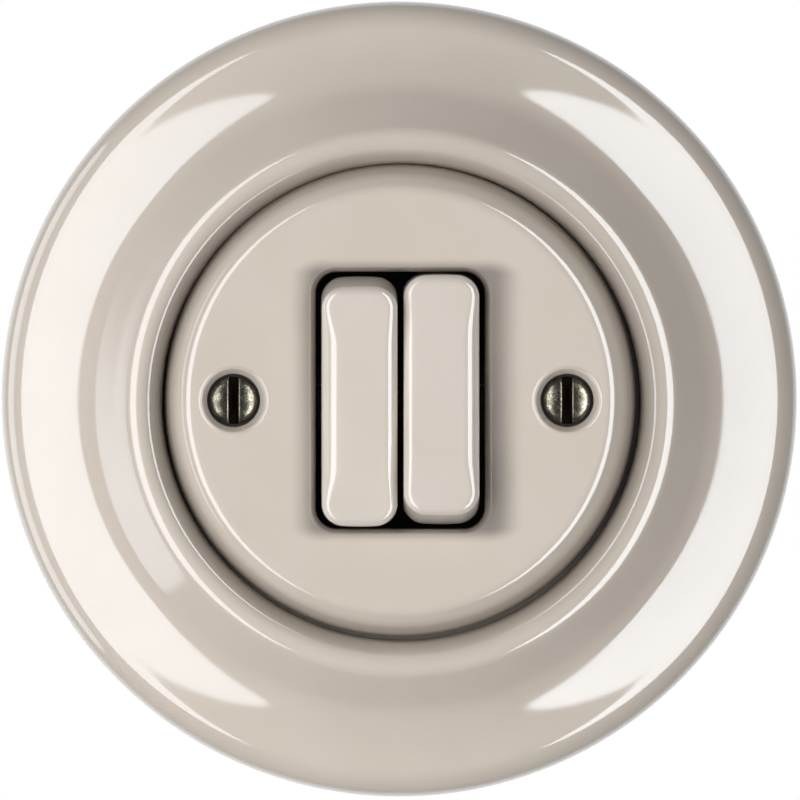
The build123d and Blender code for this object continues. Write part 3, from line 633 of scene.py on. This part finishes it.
def eased(value):
    """Smooth step of a value from 0 to 1."""
    held = min(1.0, max(0.0, value))
    return held * held * (3 - 2 * held)


def arc(start, from_slope, to_slope, width, count):
    """Points of an arc that runs inwards by width while its slope changes."""
    radius = width / abs(math.sin(to_slope) - math.sin(from_slope))
    turn = 1 if to_slope > from_slope else -1
    points = []
    for i in range(1, count + 1):
        at = from_slope + (to_slope - from_slope) * i / count
        across = turn * (math.sin(at) - math.sin(from_slope)) * radius
        rise = turn * (math.cos(from_slope) - math.cos(at)) * radius
        points.append((start[0] - across, start[1] + rise))
    return points


def steps(first, last, count):
    """Points of a straight run after its first point."""
    return [
        (
            first[0] + (last[0] - first[0]) * i / count,
            first[1] + (last[1] - first[1]) * i / count,
        )
        for i in range(1, count + 1)
    ]


def behind(spot, angle, wall):
    """Point a wall's thickness behind a point of the front."""
    return (spot[0] - wall * math.sin(angle), spot[1] - wall * math.cos(angle))


def circle(radius, height, segments, across=0.0, up=0.0):
    """Points round the depth axis, or round a line beside it."""
    points = []
    for i in range(segments):
        turn = 2 * math.pi * i / segments
        spot = (across + radius * math.cos(turn), up + radius * math.sin(turn))
        points.append((spot[0], -height, spot[1]))
    return points


def spin(skin, section, segments, across=0.0):
    """Loops of a section, given as radius and height."""
    return [skin.loop(circle(r, h, segments, across)) for r, h in section]


# Porcelain pieces


def frame_section(size):
    """Closed half section of the frame as radius and height."""
    edge = (size.radius, size.edge_height)
    lip = arc(edge, math.radians(90), size.lip_slope, size.lip_width, 18)
    sweep = arc(lip[-1], size.lip_slope, size.sweep_slope, size.sweep_width, 14)
    curl = arc(sweep[-1], size.sweep_slope, size.curl_slope, size.curl_width, 10)
    top = (
        curl[-1][0] - size.cone_width,
        curl[-1][1] + size.cone_width * math.tan(size.curl_slope),
    )
    cone = steps(curl[-1], top, 4)
    crest = arc(top, size.curl_slope, 0.0, size.crest_outer_width, 12)
    shoulder = arc(crest[-1], 0.0, -size.shoulder_slope, size.shoulder_width, 5)
    bend = arc(shoulder[-1], -size.shoulder_slope, -size.bend_slope, size.bend_width, 4)
    roll = arc(bend[-1], -size.bend_slope, -size.roll_slope, size.roll_width, 5)
    fall = arc(roll[-1], -size.roll_slope, -size.fall_slope, size.fall_width, 5)
    mouth = arc(fall[-1], -size.fall_slope, -math.radians(90), size.mouth_width, 4)
    ledge_radius = size.bore_radius - size.ledge_width
    ledge_bottom = size.ledge_height - size.ledge_thickness
    collar = size.bore_radius + size.collar_wall
    roof = behind(curl[-1], size.curl_slope, size.wall)
    back = [
        (size.bore_radius, size.ledge_height),
        (ledge_radius, size.ledge_height),
        (ledge_radius, ledge_bottom),
        (collar, ledge_bottom),
        (collar, roof[1]),
        roof,
        behind(sweep[-1], size.sweep_slope, size.wall),
        behind(lip[-1], size.lip_slope, size.wall),
        (size.radius - size.foot_width, 0.0),
        (size.radius - 0.15 * MM, 0.0),
        (size.radius, 0.15 * MM),
    ]
    inner = [*crest, *shoulder, *bend, *roll, *fall, *mouth]
    return [edge, *lip, *sweep, *curl, *cone, *inner, *back]


def build_frame_ring(size, material):
    """Moulded porcelain frame."""
    skin = Skin()
    loops = []
    for radius, height in frame_section(size):
        share = eased((39 * MM - radius) / (5 * MM))
        across, up = size.drift_across * share, size.drift_up * share
        loops.append(skin.loop(circle(radius, height, size.segments, across, up)))
    skin.run([*loops, loops[0]])
    looks = ("switch_body", "glazed_porcelain", material)
    return skin.make("frame_moulding", *looks, "frame_ring")


def opening_outline(size, grow, height):
    """Rounded rectangle of the rocker opening, grown by a margin."""
    half = size.opening_width / 2 + grow
    reach = size.opening_length / 2 + grow
    radius = size.opening_corner + grow
    points = []
    corners = [(1, 1, 0), (-1, 1, 90), (-1, -1, 180), (1, -1, 270)]
    for side, end, start in corners:
        middle = Vector((side * (half - radius), end * (reach - radius)))
        for i in range(15):
            turn = math.radians(start + 90 * i / 14)
            spot = middle + radius * Vector((math.cos(turn), math.sin(turn)))
            points.append(spot)
    return spaced(points, height)


def spaced(points, height):
    """Closed outline at a height, with its long runs divided."""
    made = []
    longest = 1.2 * MM
    for a, b in zip(points, points[1:] + points[:1]):
        run = (b - a).length
        count = math.ceil(run / longest - 1e-6) if run > 3 * MM else 1
        for i in range(count):
            spot = a + (b - a) * i / count
            made.append((spot.x, -height, spot.y))
    return made


# Lips from the flat face inwards: the share of each part in the lip's width, and the
# slope at its outer and inner end in degrees. A slope below zero rises: a fine bead.
OPENING_LIP = [
    (17 / 36, 0, 10),
    (2 / 36, 10, -25),
    (6 / 36, -25, 62),
    (9 / 36, 62, 80),
    (2 / 36, 80, 90),
]
RECESS_LIP = [
    (0.28, 0, -32),
    (0.24, -32, 54),
    (0.36, 54, 62),
    (0.12, 62, 90),
]


def lip_section(lip, width):
    """Points down a lip, as distance inwards and depth."""
    points = [(0.0, 0.0)]
    for part, outer, inner in lip:
        slopes = math.radians(outer), math.radians(inner)
        run = arc((0.0, 0.0), *slopes, part * width, 5)
        start = points[-1]
        points += [(start[0] - r, start[1] + h) for r, h in run]
    return points


def disc_opening(skin, size):
    """Walls of the rocker opening; gives its front and back loops."""
    face = size.face_height
    loops = [skin.loop(opening_outline(size, size.opening_lip + SEAM, face))]
    for inwards, depth in lip_section(OPENING_LIP, size.opening_lip):
        grow = size.opening_lip - inwards
        loops.append(skin.loop(opening_outline(size, grow, face - depth)))
    loops.append(skin.loop(opening_outline(size, 0.0, size.underside)))
    skin.run(loops)
    return loops[0], loops[-1]


def recess_reach(size, turn):
    """Width of a recess's lip in a direction, narrower towards the disc's edge."""
    edge = size.draft_width + size.foot_width + size.bevel_width
    flat = size.radius - edge - size.bend_width - size.crown_width - 2 * SEAM
    centre = size.spacing / 2
    out = math.cos(turn)
    reach = -centre * out + math.sqrt(flat**2 - (centre * math.sin(turn)) ** 2)
    return min(size.recess_lip, reach - size.recess_radius - SEAM)


def disc_recess(skin, size, side):
    """Walls of a screw recess and its boss; gives its front and back loops."""
    centre = side * size.spacing / 2
    face = size.face_height
    count = 96
    turns = [2 * math.pi * i / count for i in range(count)]
    lips = [recess_reach(size, turn) for turn in turns]
    section = lip_section(RECESS_LIP, size.recess_lip)
    loops = []
    for step, (inwards, depth) in enumerate([section[0], *section]):
        margin = SEAM if step == 0 else 0.0
        points = []
        for turn, lip in zip(turns, lips):
            share = lip / size.recess_lip
            radius = size.recess_radius + (size.recess_lip - inwards) * share + margin
            spot = (centre + side * radius * math.cos(turn), radius * math.sin(turn))
            points.append((spot[0], -face + depth * share, spot[1]))
        loops.append(skin.loop(points))
    back = [
        (size.recess_radius, size.recess_floor),
        (size.hole_radius, size.recess_floor),
        (size.hole_radius, size.boss_bottom),
        (size.boss_radius, size.boss_bottom),
        (size.boss_radius, size.underside),
    ]
    for radius, height in back:
        points = circle(radius, height, count)
        loops.append(skin.loop([(centre + side * x, y, z) for x, y, z in points]))
    skin.run(loops)
    return loops[0], loops[-1]


def disc_rim(skin, size):
    """Outside of the disc; gives its front and back loops."""
    side = steps(
        (size.radius, 0.0),
        (size.radius - size.draft_width, size.draft_width * math.tan(size.edge_slope)),
        3,
    )
    foot = arc(side[-1], size.edge_slope, size.foot_slope, size.foot_width, 2)
    bevel = arc(foot[-1], size.foot_slope, size.bevel_slope, size.bevel_width, 8)
    bend = arc(bevel[-1], size.bevel_slope, size.bend_slope, size.bend_width, 12)
    crown = arc(bend[-1], size.bend_slope, 0.0, size.crown_width, 8)
    edge = [(size.radius, 0.0), *side, *foot, *bevel, *bend, *crown]
    lift = size.face_height - edge[-1][1]
    inner = size.radius - size.rim_wall
    section = [
        (edge[-1][0] - SEAM, size.face_height),
        *((r, h + lift) for r, h in reversed(edge)),
        (size.radius, size.seat),
        (inner, size.seat),
        (inner, size.underside),
    ]
    loops = spin(skin, section, 320)
    skin.run(loops)
    return loops[0], loops[-1]


def build_cover_disc(size, material):
    """Porcelain cover disc."""
    skin = Skin()
    front, back = disc_rim(skin, size)
    holes = [disc_opening(skin, size)]
    holes += [disc_recess(skin, size, side) for side in SIDES.values()]
    skin.fill(front, [hole[0] for hole in holes])
    skin.fill(back, [hole[1] for hole in holes])
    looks = ("switch_body", "glazed_porcelain", material)
    return skin.make("cover_plate", *looks, "cover_disc")


def rocker_plan(size, width, tall):
    """Outline of a rocker: its places and their outward directions."""
    half, end = width / 2, tall / 2
    bow_radius = (half**2 + size.bow**2) / (2 * size.bow)
    corner = size.corner
    inner = half - corner
    reach = math.sqrt((bow_radius - corner) ** 2 - inner**2)
    centre = Vector((inner, reach - (bow_radius - end)))
    lean = math.atan2(reach, inner)
    quarter = []
    count = 22
    for i in range(count + 1):
        turn = lean * i / count
        way = Vector((math.cos(turn), math.sin(turn)))
        quarter.append((centre + corner * way, way))
    for i in range(1, 9):
        turn = lean + (math.pi / 2 - lean) * i / 8
        way = Vector((math.cos(turn), math.sin(turn)))
        spot = Vector((0, end - bow_radius)) + bow_radius * way
        quarter.append((spot, way))
    straight = [(Vector((half, centre.y * i / 24)), Vector((1, 0))) for i in range(24)]
    first = straight + quarter
    second = [(Vector((-p.x, p.y)), Vector((-w.x, w.y))) for p, w in reversed(first[:-1])]
    upper = first + second
    lower = [(Vector((p.x, -p.y)), Vector((w.x, -w.y))) for p, w in reversed(upper[1:-1])]
    places, ways = zip(*upper, *lower)
    return places, ways


def rocker_edge(size, spot, way, edges):
    """Radius of a rocker's front edge at a place of its outline."""
    side_radius = edges[0] if spot.x < 0 else edges[1]
    end = size.front_length / 2 - size.corner
    blend = eased((end + 0.5 * MM - abs(spot.y)) / (5.0 * MM)) * abs(way.x)
    return size.end_edge + (side_radius - size.end_edge) * blend


def build_rocker(size, name, side, edges, material):
    """Porcelain rocker with soft edges, tilted as it rests."""
    skin = Skin()
    front, ways = rocker_plan(size, size.front_width, size.front_length)
    back, _ = rocker_plan(size, size.back_width, size.back_length)
    height = size.top - size.bottom
    arcs = 14
    rings = [[] for _ in range(arcs + 2)]
    for spot, way, far in zip(front, ways, back):
        lean = math.atan2(max(0.0, (far - spot).dot(way)), height)
        radius = rocker_edge(size, spot, way, edges)
        inset = -radius * (1 - math.sin(lean)) / math.cos(lean)
        rings[0].append((spot + way * (inset - SEAM), size.top))
        for i in range(arcs + 1):
            turn = (math.pi / 2 - lean) * i / arcs
            out = inset + radius * math.sin(turn)
            fall = radius * (1 - math.cos(turn))
            rings[i + 1].append((spot + way * out, size.top - fall))
    rim, roof, bevel = size.bottom, size.top - size.face_wall, 0.3 * MM
    inner = [(0.0, rim + bevel), (bevel, rim), (size.wall, rim), (size.wall, roof)]
    for inset, up in inner:
        rings.append([(p - w * inset, up) for p, w in zip(back, ways)])
    loops = [skin.loop([(p.x, -h, p.y) for p, h in ring]) for ring in rings]
    skin.run(loops)
    skin.cap(loops[0])
    skin.cap(loops[-1])
    turn = place_rocker(size, side)
    skin.points = [turn @ Vector(p) for p in skin.points]
    node = f"{name}_rocker"
    return skin.make(f"{node}_cap", node, "rocker_porcelain", material, node)


def place_rocker(size, side):
    """Matrix that moves a rocker to its side and tilts it as it rests."""
    pivot = Vector((0, -size.axle, 0))
    turn = Matrix.Rotation(-side * size.tilt, 4, "X")
    across = Matrix.Translation((side * size.centre, 0, 0))
    return across @ Matrix.Translation(pivot) @ turn @ Matrix.Translation(-pivot)


# Cover screws


def screw_section(size, seat):
    """Half section of a cover screw as radius and height, from the head's middle."""
    dome_width = size.head_radius - size.head_edge
    radius = dome_width / math.sin(size.crown)
    dome_rise = radius * (1 - math.cos(size.crown))
    edge_radius = size.head_edge / (1 - math.sin(size.crown))
    edge_rise = edge_radius * math.cos(size.crown)
    start = (size.head_radius, size.head_top - dome_rise - edge_rise)
    edge = arc(start, math.radians(90), size.crown, size.head_edge, 8)
    dome = arc(edge[-1], size.crown, 0.0, dome_width, 16)
    section = [*reversed(dome[:-1]), *reversed(edge), start]
    shank = size.shank_radius
    section += [
        (size.head_radius, seat),
        (shank, seat),
        (shank, size.tip + 0.5 * MM),
        (shank - 0.5 * MM, size.tip),
    ]
    return section


def carved(shape, cutter, wear):
    """Mesh of a shape with a cutter taken out and its edges worn round."""
    cut = shape.modifiers.new("slot", "BOOLEAN")
    cut.object = cutter
    cut.operation = "DIFFERENCE"
    cut.solver = "EXACT"
    round_off = shape.modifiers.new("wear", "BEVEL")
    round_off.width = wear
    round_off.segments = 3
    round_off.limit_method = "ANGLE"
    round_off.angle_limit = math.radians(45)
    graph = bpy.context.evaluated_depsgraph_get()
    return bpy.data.meshes.new_from_object(shape.evaluated_get(graph))


def build_cover_screw(size, seat, name, across, material):
    """Slotted cover screw with a domed head and worn slot edges."""
    skin = Skin()
    loops = spin(skin, screw_section(size, seat), 96, across)
    skin.run(loops)
    skin.cap(loops[0])
    skin.cap(loops[-1])
    mesh = bpy.data.meshes.new(f"{name}_blank")
    mesh.from_pydata(skin.points, [], skin.faces)
    tidy_normals(mesh)
    blank = added(f"{name}_blank", mesh)
    cutter_mesh = bpy.data.meshes.new(f"{name}_cutter")
    box = bmesh.new()
    bmesh.ops.create_cube(box, size=1.0)
    middle = Vector((across, -size.head_top, 0))
    scale = Matrix.Diagonal((size.slot_width, 2 * size.slot_depth, 0.01, 1.0))
    bmesh.ops.transform(box, matrix=Matrix.Translation(middle) @ scale, verts=box.verts)
    box.to_mesh(cutter_mesh)
    box.free()
    cutter = added(f"{name}_cutter", cutter_mesh)
    bpy.context.view_layer.update()
    made = carved(blank, cutter, size.slot_wear)
    for helper in (blank, cutter):
        bpy.data.objects.remove(helper)
    smooth(made, 50.0)
    looks = ("switch_body", "aged_steel", material)
    return show(f"{name}_slotted_screw", made, *looks, f"{name}_cover_screw")


# Studio


def soft_lamp(name, place, width, tall, radiance):
    """Large rectangular lamp in front of the wall, not seen itself in gloss."""
    data = bpy.data.lights.new(name, "AREA")
    data.shape = "RECTANGLE"
    data.size = width
    data.size_y = tall
    data.energy = radiance * math.pi * width * tall
    lamp = added(name, data)
    lamp.location = place
    lamp.rotation_euler = (math.radians(90), 0, 0)
    lamp.visible_camera = False
    lamp.visible_glossy = False
    lamp.visible_transmission = False


def aim(thing, target):
    """Points a camera at a place."""
    way = Vector(target) - thing.location
    thing.rotation_mode = "QUATERNION"
    thing.rotation_quaternion = way.to_track_quat("-Z", "Y")


def light_object(studio):
    """Two large soft lamps in front, the left one stronger, set a little high.

    Their edges are shares of their distance.
    """
    far = studio.lamp_distance
    near_edge, far_edge, reach = 0.45, 1.6, 1.0
    width = (far_edge - near_edge) * far
    middle = (far_edge + near_edge) / 2 * far
    levels = {"left": studio.left_light, "right": studio.right_light}
    for name, side in SIDES.items():
        spot = (side * middle, -far, 0.02 * far)
        soft_lamp(f"{name}_lamp", spot, width, 2 * reach * far, levels[name])


def panel_in_gloss(paint, across, up, side):
    """Mask of a tall panel in front, to one side, with rounded corners."""
    near_edge, far_edge, reach = 0.754, 2.54, 2.07
    middle, half = (near_edge + far_edge) / 2, (far_edge - near_edge) / 2
    out = abs(side * across - middle) / half
    high = abs(up) / reach
    return 1 - paint.step(out**10 + high**10, 0.8, 1.25)


def wall_in_gloss(paint, way):
    """Mask of a pale wall far to the left, a little behind the switch."""
    across, depth, up = paint.parts(way)
    back = abs(depth - 0.24) / 0.19
    turn = abs(paint.math("ARCTAN2", up, 0 - across)) / math.radians(41)
    return 1 - paint.step(back**4 + turn**6, 0.85, 1.15)


def light_room(studio):
    """White room in view, panels and a wall in gloss, pale paper behind as light."""
    world = bpy.data.worlds.new("room")
    bpy.context.scene.world = world
    paint = Paint(world)
    path = paint.tree.nodes.new("ShaderNodeLightPath").outputs
    seen = Wire(paint, path["Is Camera Ray"])
    gloss = Wire(paint, path["Is Glossy Ray"]) + Wire(paint, path["Is Transmission Ray"])
    way = paint.node("ShaderNodeTexCoord", output="Generated")
    across, depth, up = paint.parts(way)
    front = paint.math("LESS_THAN", depth, -0.02)
    ahead = paint.math("MAXIMUM", 0 - depth, 0.02)
    left = panel_in_gloss(paint, across / ahead, up / ahead, -1)
    right = panel_in_gloss(paint, across / ahead, up / ahead, 1)
    panels = front * (left * studio.left_gloss + right * studio.right_gloss)
    wall = wall_in_gloss(paint, way) * studio.side_gloss
    rear = paint.step(depth, 0.55, 0.8)
    shine = panels + wall + rear + studio.room_gloss
    paper = paint.step(depth, -0.05, 0.1) * (1 - 0.8 * paint.step(across, 0.2, 0.7))
    soft = paper * studio.paper + paint.step(depth, 0.3, 0.8) * 0.8
    strength = seen + gloss * shine + (1 - seen) * (1 - gloss) * soft
    shade = paint.mix(gloss, (1.0, 1.0, 1.0), (0.94, 1.0, 1.06))
    sockets = {"Color": shade, "Strength": strength}
    background = paint.node("ShaderNodeBackground", None, sockets)
    paint.node("ShaderNodeOutputWorld", None, {"Surface": background})


def lay_floor():
    """Plain pale floor under the switch, lightened where the camera sees it."""
    mesh = bpy.data.meshes.new("floor")
    half, low = 0.6, -0.3
    corners = [(-half, -half, low), (half, -half, low), (half, half, low), (-half, half, low)]
    mesh.from_pydata(corners, [], [(0, 1, 2, 3)])
    floor = added("floor", mesh)
    paint, place = new_paint("pale_floor")
    shade = paint.mix(paint.noise(place, 0.05), (0.78, 0.78, 0.77), (0.82, 0.82, 0.81))
    seen = paint.node("ShaderNodeLightPath")
    matt = {"Base Color": shade, "Roughness": 0.9}
    board = paint.node("ShaderNodeBsdfPrincipled", None, matt)
    glow = paint.node("ShaderNodeEmission", None, {"Color": (1.0, 1.0, 1.0), "Strength": 1.0})
    mixed = paint.node("ShaderNodeMixShader", None, {0: seen * 0.75, 1: board, 2: glow})
    paint.node("ShaderNodeOutputMaterial", None, {"Surface": mixed})
    mesh.materials.append(paint.owner)
    floor.visible_glossy = False
    floor.visible_shadow = False


def place_camera(studio):
    """Long lens, square to the wall."""
    data = bpy.data.cameras.new("camera")
    data.sensor_width = 36.0
    data.lens = 36.0 * studio.distance / studio.view_width
    data.clip_start = 0.05
    data.clip_end = 20.0
    camera = added("camera", data)
    camera.location = (studio.across, -studio.distance, studio.up)
    aim(camera, (0.1 * MM, 0.0, -0.12 * MM))
    bpy.context.scene.camera = camera


# Operators


class Step:
    """Step of the build, which gets the settings of the switch."""

    def execute(self, context):
        self.build(context.scene.light_switch)
        return {"FINISHED"}


class BuildFrameRing(Step, bpy.types.Operator):
    """Build the moulded porcelain frame"""

    bl_idname = "light_switch.frame_ring"
    bl_label = "Porcelain frame"

    def build(self, switch):
        size = switch.frame_ring
        shade = tuple(switch.finish.glaze)
        build_frame_ring(size, glaze("frame_glaze", shade, frame_painted_shade, size))


class BuildCoverDisc(Step, bpy.types.Operator):
    """Build the porcelain cover disc with its opening and recesses"""

    bl_idname = "light_switch.cover_disc"
    bl_label = "Cover disc"

    def build(self, switch):
        size = switch.cover_disc
        shade = tuple(switch.finish.glaze)
        build_cover_disc(size, glaze("cover_glaze", shade, cover_painted_shade, size))


class BuildRockers(Step, bpy.types.Operator):
    """Build the two porcelain rockers"""

    bl_idname = "light_switch.rockers"
    bl_label = "Rockers"

    def build(self, switch):
        size = switch.rocker
        shade = tuple(switch.finish.rocker_glaze)
        material = glaze("rocker_glaze", shade)
        for name, side in SIDES.items():
            build_rocker(size, name, side, ROCKER_EDGES[name], material)


class BuildCoverScrews(Step, bpy.types.Operator):
    """Build the two weathered cover screws"""

    bl_idname = "light_switch.cover_screws"
    bl_label = "Cover screws"

    def build(self, switch):
        size = switch.cover_screw
        disc = switch.cover_disc
        shade = tuple(switch.finish.oxide)
        for name, side in SIDES.items():
            across = side * disc.spacing / 2
            material = oxide_steel(f"{name}_screw_steel", shade, across)
            build_cover_screw(size, disc.recess_floor, name, across, material)


class FinishMechanism(Step, bpy.types.Operator):
    """Give the plate, block, contacts and drive their finishes"""

    bl_idname = "light_switch.mechanism"
    bl_label = "Mechanism"

    def build(self, switch):
        finish = switch.finish
        made = {
            "zinc_steel": zinc_plating("zinc_plate", tuple(finish.zinc)),
            "bright_steel": drawn_steel("drawn_steel", tuple(finish.steel)),
            "brass": stamped_brass("stamped_brass", tuple(finish.brass)),
            "steatite": pressed_steatite("pressed_steatite", tuple(finish.steatite)),
            "moulded_plastic": moulded_plastic("moulded_plastic", tuple(finish.plastic)),
        }
        slots = {p["node"]: p["material_slot"] for p in frame["record"]["subparts"]}
        for node, thing in frame["nodes"].items():
            if slots[node] in made:
                thing.data.materials.clear()
                thing.data.materials.append(made[slots[node]])


class FitSprings(Step, bpy.types.Operator):
    """Give each plunger spring a mesh of its own"""

    bl_idname = "light_switch.springs"
    bl_label = "Plunger springs"

    def build(self, switch):
        for name in SIDES:
            spring = frame["nodes"][f"{name}_plunger_spring"]
            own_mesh(spring)


class SetStudio(Step, bpy.types.Operator):
    """Set the floor, the lamps, the room and the camera"""

    bl_idname = "light_switch.studio"
    bl_label = "Studio"

    def build(self, switch):
        studio = switch.studio
        lay_floor()
        light_object(studio)
        light_room(studio)
        place_camera(studio)
        bpy.context.scene.view_settings.view_transform = "Standard"


class SwitchPanel(bpy.types.Panel):
    """Panel that lists the steps of the light switch"""

    bl_idname = "VIEW3D_PT_light_switch"
    bl_label = "Light switch"
    bl_space_type = "VIEW_3D"
    bl_region_type = "UI"
    bl_category = "Light switch"

    def draw(self, context):
        for step in STEPS:
            self.layout.operator(step.bl_idname)


STEPS = (
    BuildFrameRing,
    BuildCoverDisc,
    BuildRockers,
    BuildCoverScrews,
    FinishMechanism,
    FitSprings,
    SetStudio,
)
CLASSES = (
    FrameRingSettings,
    CoverDiscSettings,
    RockerSettings,
    CoverScrewSettings,
    FinishSettings,
    StudioSettings,
    SwitchSettings,
    *STEPS,
    SwitchPanel,
)


def register():
    for part in CLASSES:
        bpy.utils.register_class(part)
    bpy.types.Scene.light_switch = PointerProperty(type=SwitchSettings)


def unregister():
    del bpy.types.Scene.light_switch
    for part in reversed(CLASSES):
        bpy.utils.unregister_class(part)


def main():
    register()
    bpy.ops.light_switch.frame_ring()
    bpy.ops.light_switch.cover_disc()
    bpy.ops.light_switch.rockers()
    bpy.ops.light_switch.cover_screws()
    bpy.ops.light_switch.mechanism()
    bpy.ops.light_switch.springs()
    bpy.ops.light_switch.studio()


if __name__ == "__main__":
    main()
